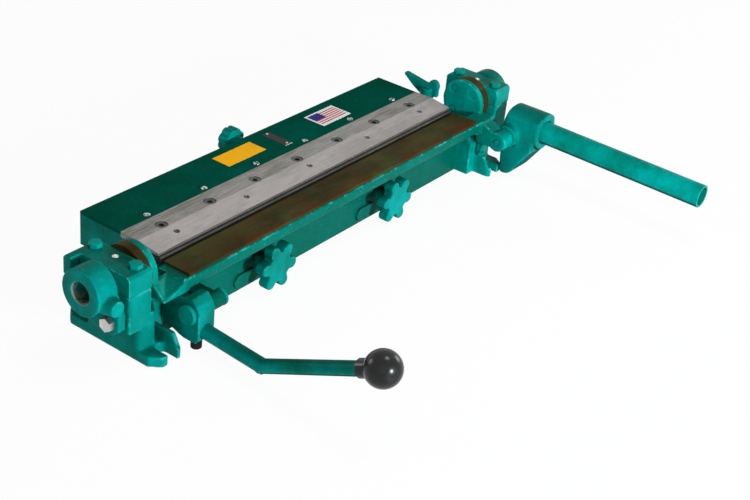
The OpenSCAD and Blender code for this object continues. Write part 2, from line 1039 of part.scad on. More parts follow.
// Stop collar on the left trunnion pin, with its lug and screw boss
lug_t = 12;
lug_half = 42;
lug_drop = 50;
lug_shares = [[0.14, 1], [0.75, 0.76], [0.55, 0.12], [0.4, 0],
  [0.1, 0], [0, 0.16], [0, 0.56]];
stop_y = -28;
stop_drop = 34;
stop_z = bend_h - stop_drop;
stop_r = 5;
stop_head_r = 9.2;
stop_head_h = 8;
screw_boss_r = 13;
screw_boss_drop = 11;
screw_boss_out = 14;
screw_boss_y0 = -44;
screw_boss_y1 = -20;

module stop_collar() {
  color("teal")
    difference() {
      union() {
        bar_x(-collar_x1, -collar_x0, 0, bend_h, collar_r);
        along_x(-collar_x0 - lug_t, -collar_x0)
          polygon(fit(lug_shares, [-lug_half, bend_h - lug_drop],
            [lug_half, bend_h]));
        bar_y(screw_boss_y0, screw_boss_y1, -collar_x0 - screw_boss_out,
          bend_h - screw_boss_drop, screw_boss_r);
      }
      bar_x(-collar_x1 - over, -collar_x0 + over, 0, bend_h, pin_r);
      bar_x(-collar_x0 - lug_t - over, -collar_x0 + over, stop_y, stop_z,
        stop_r);
    }
}

module stop_bolt() {
  color("silver") {
    bar_x(-collar_x0 - lug_t, -collar_x0, stop_y, stop_z, stop_r);
    hex_x(-collar_x0 - lug_t - stop_head_h, -collar_x0 - lug_t, stop_y,
      stop_z, stop_head_r);
  }
}

right_collar_len = 20;
set_screw_r = 3;
set_screw_in = 5;

module right_collar() {
  color("teal")
    difference() {
      bar_x(collar_x0, collar_x0 + right_collar_len, 0, bend_h, collar_r);
      bar_x(collar_x0 - over, collar_x1 + over, 0, bend_h, pin_r);
      bar_y(-collar_r - over, 0, collar_x0 + set_screw_in, bend_h,
        set_screw_r);
    }
}

module collar_set_screws() {
  color("dimgray")
    bar_y(over - collar_r, -pin_r, collar_x0 + set_screw_in, bend_h,
      set_screw_r);
}

// Handle
socket_y = -127;
socket_drop = 19;
socket_z = bend_h - socket_drop;
socket_len = 57;
slab_gap = 13;
slab_w = 50;
socket_in = 25;
slab_x0 = horn_x1 + slab_gap;
slab_x1 = slab_x0 + slab_w;
socket_x = slab_x0 + socket_in;
slab_front = -120;
slab_rear = -66;
slab_low = 3;
slab_rise = 10;
slab_shares = [[1, 0.79], [0.93, 0.94], [0.78, 1], [0.19, 1], [0, 0.94],
  [0, 0.46], [0.52, 0.08], [0.63, 0.02], [0.76, 0], [0.89, 0],
  [0.93, 0.05], [1, 0.53]];
pipe_tilt = 1.1;
pipe_in = 48;
ear_r = 18;
lug_bolt_r = 4;
lug_bolt_grip = 12;
lug_bolt_end = 1;
dowel_r = 2.5;
dowel_in = 8;
dowel_shift = 10;
handle_screw_r = 4;
handle_screw_y = -108;

module from_socket() {
  translate([socket_x, socket_y, socket_z])
    rotate([90 + pipe_tilt, 0, 0])
      children();
}

module handle_bracket() {
  color("teal")
    difference() {
      union() {
        from_socket()
          translate([0, 0, -socket_len])
            cylinder(h = socket_len, r = socket_r);
        along_x(slab_x0, slab_x1)
          polygon(fit(slab_shares, [slab_front, slab_low],
            [slab_rear, bend_h + slab_rise]));
        bar_x(horn_x1, slab_x0 + over, horn_y, horn_z + over, ear_r);
      }
      from_socket()
        translate([0, 0, -pipe_in])
          cylinder(h = pipe_in + over, r = pipe_r);
      bar_x(horn_x1 - over, slab_x0 + lug_bolt_grip, horn_y, horn_z,
        lug_bolt_r);
      bar_x(horn_x1 - over, slab_x0, horn_y + dowel_shift, horn_z, dowel_r);
      bar_x(socket_x, socket_x + socket_r + over, handle_screw_y, socket_z,
        handle_screw_r);
    }
}

// Stud and dowel that hold the bracket to the apron's lug
module bracket_bolts() {
  color("teal") {
    bar_x(horn_x0 - lug_bolt_end, slab_x0 + lug_bolt_grip, horn_y, horn_z,
      lug_bolt_r);
    bar_x(horn_x1 - dowel_in, slab_x0, horn_y + dowel_shift, horn_z,
      dowel_r);
  }
}

module handle_pipe() {
  color("teal")
    from_socket()
      difference() {
        translate([0, 0, -pipe_in])
          cylinder(h = pipe_reach + socket_y + pipe_in, r = pipe_r);
        translate([0, 0, -pipe_in - over])
          cylinder(h = pipe_reach + pipe_in + over, r = pipe_r - pipe_wall);
      }
}

module handle_set_screw() {
  color("dimgray")
    bar_x(socket_x + pipe_r, socket_x + socket_r - over, handle_screw_y,
      socket_z, handle_screw_r);
}

// Clamp lever parts
hub_low = 16;
hub_front = -81;
hub_rear = -22;
hub_over = 2;
hub_top = bend_h - apron_drop + hub_over;
hub_block_shares = [[0, 0.1], [0, 0.74], [0.07, 0.87], [0.2, 1], [0.39, 0.98],
  [0.56, 0.76], [0.56, 0.08], [0.42, 0], [0.08, 0]];
hub_plate_shares = [[0, 0.1], [0, 0.74], [0.07, 0.87], [0.2, 1], [0.39, 0.98],
  [0.42, 0.94], [0.86, 0.94], [1, 0.47], [1, 0.2], [0.53, 0.03], [0.42, 0],
  [0.08, 0]];
boss_out = 5.5;
pivot_boss_r = 13;
ring_w = 4;
ring_wall = 3;
rod_y0 = pivot_y - pivot_r - over;
rod_taper = 0.5;
rod_bend = [-168, 24];
rod_start = [-80, 30];
rod_lap = 4;
rod_dip = 2;
ball_rise = 3;
ball_z = bend_h + ball_rise;
tip_back = 12;
tip_drop = 6.2;
rod_tip = [tip_back - ball_reach, ball_z - tip_drop];
neck_r = 11.5;
neck_len = 9;
bumper_r = 7;
bumper_y = -66;

module lever_pivot_bolt() {
  color("teal") {
    bar_x(hub_x0 - over, arm_x1 + ring_w, pivot_y, pivot_z, pivot_r);
    bar_x(hub_x0 - boss_out, hub_x0, pivot_y, pivot_z, pivot_boss_r);
  }
}

module pivot_ring() {
  color("silver")
    difference() {
      bar_x(arm_x1, arm_x1 + ring_w, pivot_y, pivot_z, pivot_r + ring_wall);
      bar_x(arm_x1 - over, arm_x1 + ring_w + over, pivot_y, pivot_z,
        pivot_r);
    }
}

module lever_hub() {
  color("teal")
    difference() {
      union() {
        along_x(hub_x0, hub_x1)
          polygon(fit(hub_block_shares, [hub_front, hub_low],
            [hub_rear, hub_top]));
        along_x(hub_x0, hub_x0 + plate_w)
          polygon(fit(hub_plate_shares, [hub_front, hub_low],
            [hub_rear, hub_top]));
      }
      bar_x(hub_x0 - over, hub_x1 + over, pivot_y, pivot_z,
        pivot_r + run_gap);
      bar_x(crank_x0, hub_x1 + over, pivot_y + arm_dy, pivot_z + arm_dz,
        crank_r);
      rod_part(rod_in, rod_bend, rod_r);
    }
}

rod_slope = (rod_start[1] - rod_bend[1]) / (rod_start[0] - rod_bend[0]);
rod_in = [rod_y0, rod_start[1] + rod_slope * (rod_y0 - rod_start[0])];

// Round bar from a to b, both (y, z), in the lever's plane
module rod_part(a, b, r) {
  translate([rod_x, a[0], a[1]])
    rotate([atan2(a[0] - b[0], b[1] - a[1]), 0, 0])
      cylinder(h = norm(b - a), r = r);
}

module lever_rod() {
  color("teal") {
    rod_part(rod_in, rod_bend + [-rod_lap, 0], rod_r);
    rod_part(rod_bend + [rod_lap, -rod_dip], rod_tip, rod_r - rod_taper);
  }
}

// Where the ball's neck starts, back along the rod
rod_dir = (rod_tip - rod_bend) / norm(rod_tip - rod_bend);
neck_end = [-ball_reach, ball_z] - rod_dir * (ball_r + neck_len);

module ball_knob() {
  color("black")
    difference() {
      union() {
        translate([rod_x, -ball_reach, ball_z])
          sphere(r = ball_r);
        rod_part(neck_end, [-ball_reach, ball_z], neck_r);
      }
      rod_part(rod_bend, rod_tip, rod_r - rod_taper);
    }
}

module lever_bumper() {
  color("black")
    bar_z(over, hub_low, rod_x, bumper_y, bumper_r);
}

pin_out = 3;

module hub_crank_pin() {
  color("silver")
    bar_x(crank_x0, link_x1 + pin_out, pivot_y + arm_dy, pivot_z + arm_dz,
      crank_r);
}

link_eye_r = 8;
link_half = 6;

module drag_link() {
  color("gray")
    difference() {
      along_x(link_x0, link_x1)
        union() {
          for (y = [pivot_y + arm_dy, shaft_y + arm_dy])
            translate([y, pivot_z + arm_dz])
              circle(r = link_eye_r);
          translate([pivot_y + arm_dy, pivot_z + arm_dz - link_half])
            square([shaft_y - pivot_y, 2 * link_half]);
        }
      for (y = [pivot_y + arm_dy, shaft_y + arm_dy])
        bar_x(link_x0 - over, link_x1 + over, y, pivot_z + arm_dz,
          crank_r + run_gap);
    }
}

module cross_shaft() {
  color("silver")
    bar_x(-bed_x + side_gap, bed_x - side_gap, shaft_y, shaft_z, shaft_r);
}

crank_out = 2;
crank_w = 11;
crank_eye_r = 9;
crank_slim = 1.5;
crank_arm_x0 = crank_out - half;
crank_arm_x1 = crank_arm_x0 + crank_w;

module crank_arm() {
  color("gray")
    difference() {
      union() {
        bar_x(crank_arm_x0, crank_arm_x1, shaft_y, shaft_z, bush_r);
        bar_x(crank_arm_x0, crank_arm_x1, shaft_y + arm_dy, shaft_z + arm_dz,
          crank_eye_r);
        along_x(crank_arm_x0, crank_arm_x1)
          polygon([[shaft_y - bush_r + crank_slim, shaft_z + crank_out],
            [shaft_y + bush_r - crank_slim, shaft_z + crank_out],
            [shaft_y + arm_dy + crank_eye_r - crank_slim,
              shaft_z + arm_dz - crank_out],
            [shaft_y + arm_dy - crank_eye_r + crank_slim,
              shaft_z + arm_dz - crank_out]]);
      }
      bar_x(crank_arm_x0 - over, crank_arm_x1 + over, shaft_y, shaft_z,
        shaft_r);
      bar_x(crank_arm_x0 - over, crank_arm_x1 + over, shaft_y + arm_dy,
        shaft_z + arm_dz, crank_r);
    }
}

module arm_crank_pin() {
  color("silver")
    bar_x(crank_arm_x0, link_x1 + pin_out, shaft_y + arm_dy, shaft_z + arm_dz,
      crank_r);
}

module clamp_eccentrics() {
  color("dimgray")
    pair()
      difference() {
        bar_x(cam_x0, cam_x0 + cam_w, shaft_y + cam_dy, shaft_z + cam_dz,
          cam_r);
        bar_x(cam_x0 - over, cam_x0 + cam_w + over, shaft_y, shaft_z,
          shaft_r);
      }
}

// Hand knobs
lobe_r = 8;
knob_core = 21;
knob_stand = 22;
knob_y0 = -bed_front - knob_stand;
knob_t = 16;
knob_neck_r = 11;
knob_face = 5;
knob_count = 6;
knob_angle = 52;
nut_h = 8;
nut_wall = 2.5;

module star(core, reach, lobe, count) {
  circle(r = core);
  for (i = [0:count - 1])
    rotate([0, 0, knob_angle + i * 360 / count])
      union() {
        translate([reach - lobe, 0])
          circle(r = lobe);
        translate([0, -lobe])
          square([reach - lobe, 2 * lobe]);
      }
}

module front_knob(x) {
  color("teal")
    difference() {
      union() {
        translate([x, 0, knob_z])
          along_y(knob_y0 - knob_t, knob_y0)
            star(knob_core, knob_r, lobe_r, knob_count);
        bar_y(knob_y0 - over, -bed_front - pad_t - side_gap, x, knob_z,
          knob_neck_r);
      }
      bar_y(knob_y0 - knob_t + knob_face, 0, x, knob_z, stud_r);
    }
}

module left_front_knob() {
  front_knob(-knob_x - knob_shift);
}

module right_front_knob() {
  front_knob(knob_x - knob_shift);
}

module front_knob_studs() {
  color("silver")
    for (x = [-knob_x - knob_shift, knob_x - knob_shift]) {
      bar_y(knob_y0 - knob_t + knob_face + side_gap, -bed_front + over,
        x, knob_z, stud_r - run_gap);
      bar_y(-bed_front, -bed_front + wall, x, knob_z, stud_r);
      bar_y(-bed_front + wall, -bed_front + wall + nut_h, x, knob_z,
        stud_r + nut_wall);
    }
}

rear_knob_x = -5;
stud_depth = 20;
rear_drop = 7;
rear_knob_z = bend_h - rear_drop;
rear_stud_r = 5;
rear_stand = 14.3;
rear_knob_y = beam_rear + rear_stand;
stud_end_gap = 2;
rear_knob_t = 17;
rear_neck_r = 10;
flute_r = 4;
flute_out = 2;
flute_angles = [0:45:315];
rear_bore = 12;

module rear_knob() {
  color("teal")
    difference() {
      union() {
        bar_y(rear_knob_y, rear_knob_y + rear_knob_t, rear_knob_x,
          rear_knob_z, rear_knob_r);
        bar_y(beam_rear + side_gap, rear_knob_y + over, rear_knob_x,
          rear_knob_z, rear_neck_r);
      }
      for (a = flute_angles)
        bar_y(rear_knob_y - over, rear_knob_y + rear_knob_t + over,
          rear_knob_x + (rear_knob_r + flute_out) * cos(a),
          rear_knob_z + (rear_knob_r + flute_out) * sin(a), flute_r);
      bar_y(beam_rear - over, rear_knob_y + rear_bore, rear_knob_x,
        rear_knob_z, rear_stud_r);
    }
}

module rear_knob_stud() {
  color("silver") {
    bar_y(beam_rear - over, rear_knob_y + rear_bore - stud_end_gap,
      rear_knob_x, rear_knob_z, rear_stud_r - run_gap);
    bar_y(beam_rear - stud_depth, beam_rear, rear_knob_x, rear_knob_z,
      rear_stud_r);
  }
}

// Wing knob: a long flat wing to the rear and a short round one in front
wing_t = 8;
wing_low = 3;
wing_hub_h = 16;
wing_hub_r = 11;
wing_stud_h = 10;
wing_long = 44;
wing_h = 29;
wing_shares = [[0, 0.1], [0.28, 0.1], [0.6, 0.38], [1, 0.84], [0.94, 1],
  [0.08, 0.79], [0, 0.79]];
wing_lobe_y = -11;
wing_lobe_z = 25;
wing_lobe_r = 9;

module wing_knob() {
  color("teal")
    difference() {
      union() {
        bar_z(wing_base + wing_low, wing_base + wing_low + wing_hub_h, wing_x,
          wing_y, wing_hub_r);
        along_x(wing_x - wing_t / 2, wing_x + wing_t / 2)
          union() {
            polygon(fit(wing_shares, [wing_y, wing_base + wing_low],
              [wing_y + wing_long, wing_base + wing_low + wing_h]));
            translate([wing_y + wing_lobe_y, wing_base + wing_lobe_z])
              circle(r = wing_lobe_r);
            translate([wing_y + wing_lobe_y - wing_lobe_r + over,
                wing_base + wing_hub_h / 2])
              square([wing_hub_r + wing_lobe_r - over,
                wing_lobe_z - wing_hub_h / 2]);
          }
      }
      bar_z(wing_base, wing_base + wing_low + wing_stud_h, wing_x, wing_y,
        stud_r);
    }
}

module wing_knob_stud() {
  color("silver") {
    bar_z(wing_base - over, wing_base + wing_stud_h, wing_x, wing_y,
      stud_r - run_gap);
    bar_z(wing_base - stud_depth, wing_base, wing_x, wing_y, stud_r);
  }
}

bed_casting();
lower_jaw();
jaw_screws();
left_end_frame();
right_end_frame();
left_bearing_cap();
right_bearing_cap();
cap_bolts();
oil_cups();
bearing_bushes();
end_frame_bolts();
guide_posts();
shaft_bushes();
clamp_beam();
clamp_yokes();
yoke_screws();
nose_bar();
nose_screws();
nose_edge_screws();
top_cover();
cover_screws();
yellow_label();
small_plate();
plate_rivets();
striped_label();
apron();
apron_face_plate();
face_plate_screws();
left_trunnion();
right_trunnion();
trunnion_screws();
stop_collar();
stop_bolt();
right_collar();
collar_set_screws();
handle_bracket();
bracket_bolts();
handle_pipe();
handle_set_screw();
lever_pivot_bolt();
pivot_ring();
lever_hub();
lever_rod();
ball_knob();
lever_bumper();
hub_crank_pin();
drag_link();
cross_shaft();
crank_arm();
arm_crank_pin();
clamp_eccentrics();
left_front_knob();
right_front_knob();
front_knob_studs();
rear_knob();
rear_knob_stud();
wing_knob();
wing_knob_stud();
apron_rest_screw();
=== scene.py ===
import json
from math import cos, hypot, radians, sin

import bmesh
import bpy
from mathutils import Matrix, Vector

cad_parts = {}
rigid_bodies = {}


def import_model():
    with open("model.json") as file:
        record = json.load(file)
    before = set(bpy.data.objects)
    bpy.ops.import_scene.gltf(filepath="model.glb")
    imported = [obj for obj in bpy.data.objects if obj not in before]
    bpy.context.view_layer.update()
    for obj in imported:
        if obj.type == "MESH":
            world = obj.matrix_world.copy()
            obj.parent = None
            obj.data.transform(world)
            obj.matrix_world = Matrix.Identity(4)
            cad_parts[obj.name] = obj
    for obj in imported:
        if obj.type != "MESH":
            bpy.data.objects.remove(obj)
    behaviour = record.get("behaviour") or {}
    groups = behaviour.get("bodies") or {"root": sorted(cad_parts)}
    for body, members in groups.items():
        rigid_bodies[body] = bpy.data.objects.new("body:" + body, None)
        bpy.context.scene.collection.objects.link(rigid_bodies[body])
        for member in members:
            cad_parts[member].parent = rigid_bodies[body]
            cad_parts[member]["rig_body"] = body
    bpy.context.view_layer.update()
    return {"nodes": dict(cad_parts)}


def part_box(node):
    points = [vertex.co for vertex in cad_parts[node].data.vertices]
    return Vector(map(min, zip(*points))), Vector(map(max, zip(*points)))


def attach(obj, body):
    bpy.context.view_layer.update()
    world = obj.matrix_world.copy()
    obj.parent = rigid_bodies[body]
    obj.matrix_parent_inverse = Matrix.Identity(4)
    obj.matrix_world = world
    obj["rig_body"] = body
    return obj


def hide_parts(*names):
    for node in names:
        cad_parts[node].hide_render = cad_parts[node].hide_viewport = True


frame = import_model()
nodes = frame["nodes"]

# The photographer's place: a long lens at the left front of the bench, looking
# down along the machine and rolled a little, as the photo's level edges show.
azimuth, elevation, roll = radians(56.11), radians(30.25), radians(6.26)
eye = Vector((-1.3449, -1.0038, 0.9683))
look = Vector((sin(azimuth) * cos(elevation), cos(azimuth) * cos(elevation), -sin(elevation)))
level = look.cross(Vector((0, 0, 1))).normalized()
rise = level.cross(look)
side = level * cos(roll) + rise * sin(roll)
top = rise * cos(roll) - level * sin(roll)
lens = bpy.data.cameras.new("camera")
lens.lens = 67.88
lens.sensor_width = 36
lens.clip_end = 50
camera = bpy.data.objects.new("camera", lens)
camera.matrix_world = Matrix.Translation(eye) @ Matrix((side, top, -look)).transposed().to_4x4()
scene = bpy.context.scene
scene.collection.objects.link(camera)
scene.camera = camera
scene.view_settings.view_transform = "Standard"

# The bench is a plain pale sheet that runs out of sight, a hair below the
# feet. It keeps the machine's soft shadow and is otherwise seen as white.


class Flow:
    """The value that leaves a node, so that shader maths reads as sums."""

    def __init__(self, recipe, socket):
        self.recipe, self.socket = recipe, socket

    def maths(self, operation, *values):
        return self.recipe.node("ShaderNodeMath", {"operation": operation}, dict(enumerate(values)))

    def __add__(self, other):
        return self.maths("ADD", self, other)

    def __sub__(self, other):
        return self.maths("SUBTRACT", self, other)

    def __rsub__(self, other):
        return self.maths("SUBTRACT", other, self)

    def __mul__(self, other):
        return self.maths("MULTIPLY", self, other)

    def __truediv__(self, other):
        return self.maths("DIVIDE", self, other)

    def over(self, edge, soft):
        """0 below the edge and 1 above it, with a soft step between."""
        return self.recipe.node("ShaderNodeMapRange", {"clamp": True},
                                {0: self, 1: edge - soft, 2: edge + soft})

    __radd__ = __add__
    __rmul__ = __mul__


class Recipe:
    """A node tree that one method fills."""

    def __init__(self, tree):
        self.tree = tree

    def plug(self, socket, value):
        if isinstance(value, Flow):
            self.tree.links.new(value.socket, socket)
        else:
            socket.default_value = value

    def node(self, kind, settings=None, values=None, out=0):
        made = self.tree.nodes.new(kind)
        for key, value in (settings or {}).items():
            setattr(made, key, value)
        for key, value in (values or {}).items():
            self.plug(made.inputs[key], value)
        return Flow(self, made.outputs[out])


class Finish(Recipe):
    """One surface finish: a material with a Principled shader."""

    def __init__(self, name, metallic=0.0, specular=0.5):
        self.material = bpy.data.materials.new(name)
        self.material.use_nodes = True
        super().__init__(self.material.node_tree)
        self.shader = self.tree.nodes["Principled BSDF"]
        self.shader.inputs["Metallic"].default_value = metallic
        self.shader.inputs["Specular IOR Level"].default_value = specular
        self.place = self.node("ShaderNodeTexCoord", out="Object")

    def noise(self, scale, detail=3.0, rough=0.5, stretch=(1, 1, 1)):
        """Cloudy noise with this many waves to the metre, times the stretch."""
        spot = self.node("ShaderNodeMapping", {}, {"Vector": self.place, "Scale": stretch})
        return self.node("ShaderNodeTexNoise", {},
                         {"Vector": spot, "Scale": scale, "Detail": detail, "Roughness": rough})

    def blend(self, mask, under, over):
        """The colour under the mask where it is 0, and the one over it where it is 1."""
        under, over = (part if isinstance(part, Flow) else (*part, 1) for part in (under, over))
        return self.node("ShaderNodeMix", {"data_type": "RGBA"}, {"Factor": mask, 6: under, 7: over}, out=2)

    def along(self, axis):
        """The place along an axis of the machine, in metres."""
        return self.node("ShaderNodeSeparateXYZ", {}, {0: self.place}, out=axis)

    def bump(self, height, depth, strength):
        return self.node("ShaderNodeBump", {},
                         {"Height": height, "Distance": depth, "Strength": strength})

    def lay(self, colour, rough, normal=None):
        self.plug(self.shader.inputs["Base Color"],
                  colour if isinstance(colour, Flow) else (*colour, 1))
        self.plug(self.shader.inputs["Roughness"], rough)
        if normal is not None:
            self.plug(self.shader.inputs["Normal"], normal)


def seen_directly(recipe):
    """1 where a ray comes from the camera, a mirror or a glass."""
    straight, mirrored, refracted = (
        recipe.node("ShaderNodeLightPath", out=ray)
        for ray in ("Is Camera Ray", "Is Glossy Ray", "Is Transmission Ray"))
    return straight.maths("MAXIMUM", straight, straight.maths("MAXIMUM", mirrored, refracted))


sheet_half, sheet_drop = 30, 0.0002
sheet = bmesh.new()
bmesh.ops.create_grid(sheet, x_segments=1, y_segments=1, size=sheet_half)
bench_mesh = bpy.data.meshes.new("bench")
sheet.to_mesh(bench_mesh)
sheet.free()
bench = bpy.data.objects.new("bench", bench_mesh)
scene.collection.objects.link(bench)
bench.location.z = -sheet_drop
paper = Finish("bench_paper", specular=0.1)
paper.lay((0.93, 0.93, 0.93), rough=0.9)
glow = paper.node("ShaderNodeEmission", {}, {"Color": (1, 1, 1, 1), "Strength": 1.0})
matt = Flow(paper, paper.shader.outputs[0])
lit = paper.node("ShaderNodeMixShader", {}, {0: seen_directly(paper) * 0.84 + 0.1, 1: matt, 2: glow})
paper.plug(paper.tree.nodes["Material Output"].inputs[0], lit)
bench_mesh.materials.append(paper.material)

# The studio is a white room as the lens and the bare metal see it, and gives
# the paint only a weak, slightly warm light from all round.
studio = bpy.data.worlds.new("studio")
studio.use_nodes = True
scene.world = studio
room = Recipe(studio.node_tree)
weak_sky = room.tree.nodes["Background"]
weak_sky.inputs["Color"].default_value = (1, 1, 0.8, 1)
weak_sky.inputs["Strength"].default_value = 0.2
white_wall = room.node("ShaderNodeBackground", {}, {"Color": (1, 1, 1, 1), "Strength": 1.0})
walls = room.node("ShaderNodeMixShader", {},
                  {0: seen_directly(room), 1: Flow(room, weak_sky.outputs[0]), 2: white_wall})
room.plug(room.tree.nodes["World Output"].inputs[0], walls)


# Four lamps: a low one in front that models the castings, a small one above
# the right end, and two large weak ones behind and at the right.
def hang_lamp(name, place, target, size, watts, tint=(1, 1, 1)):
    lamp = bpy.data.lights.new(name, "AREA")
    lamp.shape = "DISK"
    lamp.color = tint
    lamp.size = size
    lamp.energy = watts
    holder = bpy.data.objects.new(name, lamp)
    aim = Vector(target) - Vector(place)
    holder.matrix_world = Matrix.Translation(place) @ aim.to_track_quat("-Z", "Y").to_matrix().to_4x4()
    scene.collection.objects.link(holder)


machine_middle = (0, 0, 0.05)
hang_lamp("front_lamp", (-0.55, -2.5, 0.72), machine_middle, size=0.4, watts=76, tint=(0.8, 0.95, 1))
hang_lamp("top_lamp", (0.1, -0.5, 1.7), (0.3, -0.1, 0.05), size=0.5, watts=7)
hang_lamp("rear_lamp", (-1.2, 2.1, 1.1), machine_middle, size=1.0, watts=14)
hang_lamp("right_lamp", (2.1, -0.9, 0.9), machine_middle, size=1.0, watts=16)

# The bed is a long open box of grey iron, cast in sand, fettled and dipped in
# teal enamel. The end frames are bolted to its ends, and an arm at its left
# front carries the clamp lever.
TEAL, DEEP_TEAL = (0.0, 0.295, 0.275), (0.0, 0.12, 0.085)
MIDDLE_DARK_GREEN, UPWARD_DARK_GREEN, BARE_IRON = (0, 0.1, 0.07), (0.002, 0.06, 0.035), (0.02, 0.035, 0.03)


def toned(colour, gain, lift=0.0):
    return tuple(part * gain + lift for part in colour)


def teal_enamel(name, tint=1.0, cast=False, upward_darkening=0.6, span=0):
    """Dipped enamel, nicked all over and darker where it faces up, with painted shade where it faces down.

    On a casting its edges get a painted highlight and its hollows painted shade.
    Up to the span, a half length along the machine, it is blended towards a darker green.
    """
    paint = Finish(name, specular=0.02)
    teal, deep = toned(TEAL, tint), toned(DEEP_TEAL, tint)
    blotch = paint.noise(13, 4, 0.62)
    run = paint.noise(46, 3, 0.55, (1, 1, 0.45))
    sand = paint.noise(360, 3, 0.62)
    speck = paint.noise(240, 4, 0.7)
    nick = speck.over(0.71, 0.012) * paint.noise(21, 2).over(0.52, 0.06)
    facing = paint.node("ShaderNodeNewGeometry", out="Normal")
    tilt = paint.node("ShaderNodeSeparateXYZ", {}, {0: facing}, out=2)
    # Painted shade: how much the surface faces down.
    under = (0 - tilt).over(0.5, 0.12)

    coat = paint.blend(blotch.over(0.5, 0.2), deep, teal)
    coat = paint.blend((1 - run.over(0.44, 0.1)) * 0.45, coat, deep)
    if span:
        # Up to the span, the paint is blended towards a darker green.
        from_middle = paint.node("ShaderNodeMath", {"operation": "ABSOLUTE"}, {0: paint.along(0)})
        coat = paint.blend((1 - from_middle.over(span, 0.006)) * 0.85, coat, MIDDLE_DARK_GREEN)
    if upward_darkening:
        # Where it faces up, the paint is blended towards a darker green.
        facing_up_darker = tilt.over(0.72, 0.2) * (paint.noise(19, 4, 0.6).over(0.44, 0.16) * 0.35 + 0.65)
        coat = paint.blend(facing_up_darker * upward_darkening, coat, UPWARD_DARK_GREEN)
    coat = paint.blend(speck.over(0.64, 0.04) * 0.35, coat, toned(teal, 1.5))
    if cast:
        bend = paint.node("ShaderNodeNewGeometry", out="Pointiness")
        edge = bend.over(0.535, 0.02) * paint.noise(60, 4, 0.7).over(0.54, 0.05)
        painted_hollow_shade = 1 - bend.over(0.468, 0.025)
        # Painted highlight on the convex edges and painted shade in the hollows.
        coat = paint.blend(edge * 0.55, coat, toned(teal, 1.8, 0.08))
        coat = paint.blend(painted_hollow_shade * 0.85, coat, toned(deep, 0.3))
    coat = paint.blend(nick * 0.8, coat, BARE_IRON)
    # Painted shade: faces that point down are painted almost black-green.
    coat = paint.blend(under * 0.8, coat, toned(deep, 0.15))
    dull = blotch * 0.18 + nick * 0.3 + under * 0.6 + 0.2
    paint.lay(coat, dull, paint.bump(sand * 0.45 + run * 1.5 + blotch * 2 - nick * 1.5, 0.0006, 0.6))
    return paint


def copy_of(node):
    """The CAD solid as a mesh to work on, with its loose triangles joined."""
    joined_within = 2e-6
    work = bmesh.new()
    work.from_mesh(nodes[node].data)
    bmesh.ops.remove_doubles(work, verts=work.verts, dist=joined_within)
    return work


def dress(node, work, name, finish):
    """Shows the worked mesh in the CAD solid's place, on the same body."""
    data = bpy.data.meshes.new(name)
    work.to_mesh(data)
    work.free()
    piece = bpy.data.objects.new(name, data)
    scene.collection.objects.link(piece)
    data.materials.append(finish.material)
    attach(piece, nodes[node]["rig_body"])
    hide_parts(node)
    return piece


def eased(node, finish, width, segments=3):
    """The CAD solid with its edges broken by a narrow round."""
    flat_within, kept_edge, rounded_edge = radians(0.6), radians(32), radians(38)
    work = copy_of(node)
    bmesh.ops.dissolve_limit(work, angle_limit=flat_within, verts=work.verts,
                             edges=work.edges, delimit=set())
    for face in work.faces:
        face.smooth = True
    for edge in work.edges:
        if len(edge.link_faces) == 2:
            edge.smooth = edge.calc_face_angle(0) < kept_edge
    piece = dress(node, work, node + "_shell", finish)
    round_off = piece.modifiers.new("round_off", "BEVEL")
    round_off.width = width
    round_off.segments = segments
    round_off.limit_method = "ANGLE"
    round_off.angle_limit = rounded_edge
    round_off.harden_normals = True
    round_off.miter_outer = "MITER_ARC"


bed_enamel = teal_enamel("bed_enamel", tint=0.9, span=0.33)
eased("bed_casting", bed_enamel, width=0.0022)

# The lower jaw is a ground strip of tool steel let into the bed's shelf. The
# sheet lies on it, and oil has turned it nearly black.


def ground_steel(name, colour, rough, grain=(6, 260, 260), stain=(0.33, 0.3, 0.27)):
    """Bare metal with the grinder's lines, wiped bright in places and stained in others."""
    steel = Finish(name, metallic=1.0)
    lines = steel.noise(7, 4, 0.7, grain)
    smear = steel.noise(11, 4, 0.65)
    wiped = steel.noise(5, 5, 0.7, (1, 5, 5))
    speck = steel.noise(150, 3, 0.6).over(0.66, 0.03)
    skin = steel.blend(smear.over(0.52, 0.12) * 0.6, colour, stain)
    skin = steel.blend(wiped.over(0.55, 0.06) * 0.45, skin, toned(colour, 1.45))
    skin = steel.blend(lines.over(0.6, 0.05) * 0.3, skin, stain)
    skin = steel.blend(speck * 0.45, skin, toned(stain, 0.6))
    steel.lay(skin, lines * 0.16 + smear * 0.24 + rough, steel.bump(lines, 0.00008, 0.6))
    return steel


jaw_steel = ground_steel("jaw_steel", (0.07, 0.068, 0.06), 0.42, stain=(0.03, 0.025, 0.018))
eased("lower_jaw", jaw_steel, width=0.0004, segments=2)

# The jaw screws are black socket screws. They come up through the bed's
# shelf and hold the lower jaw down.


def paint_node(node, finish):
    """Gives a CAD solid, which is shown as it is, its finish."""
    nodes[node].data.materials.clear()
    nodes[node].data.materials.append(finish.material)


black_oxide = ground_steel("black_oxide", (0.1, 0.1, 0.1), 0.3, (60, 60, 60), (0.05, 0.045, 0.04))
paint_node("jaw_screws", black_oxide)

# The end frames are cast iron stands with open bolt slots in their feet. Each
# has one half of the apron's bearing bored in it and the other half in the
# cap on its top. They are painted with the machine.


def casting(node, finish, grain, passes, fettle=None):
    """The CAD solid as it leaves the sand: outer corners round, inner ones filled.

    The grain is the size of the cells it is cast in, and the passes are how
    often it is rubbed down. A fettler may work on it first.
    """
    work = copy_of(node)
    if fettle:
        fettle(work)
    bmesh.ops.recalc_face_normals(work, faces=work.faces)
    for face in work.faces:
        face.smooth = True
    piece = dress(node, work, node + "_casting", finish)
    skin = piece.modifiers.new("skin", "REMESH")
    skin.mode = "VOXEL"
    skin.voxel_size = grain
    skin.use_smooth_shade = True
    rub = piece.modifiers.new("rub_down", "SMOOTH")
    rub.factor = 0.5
    rub.iterations = passes


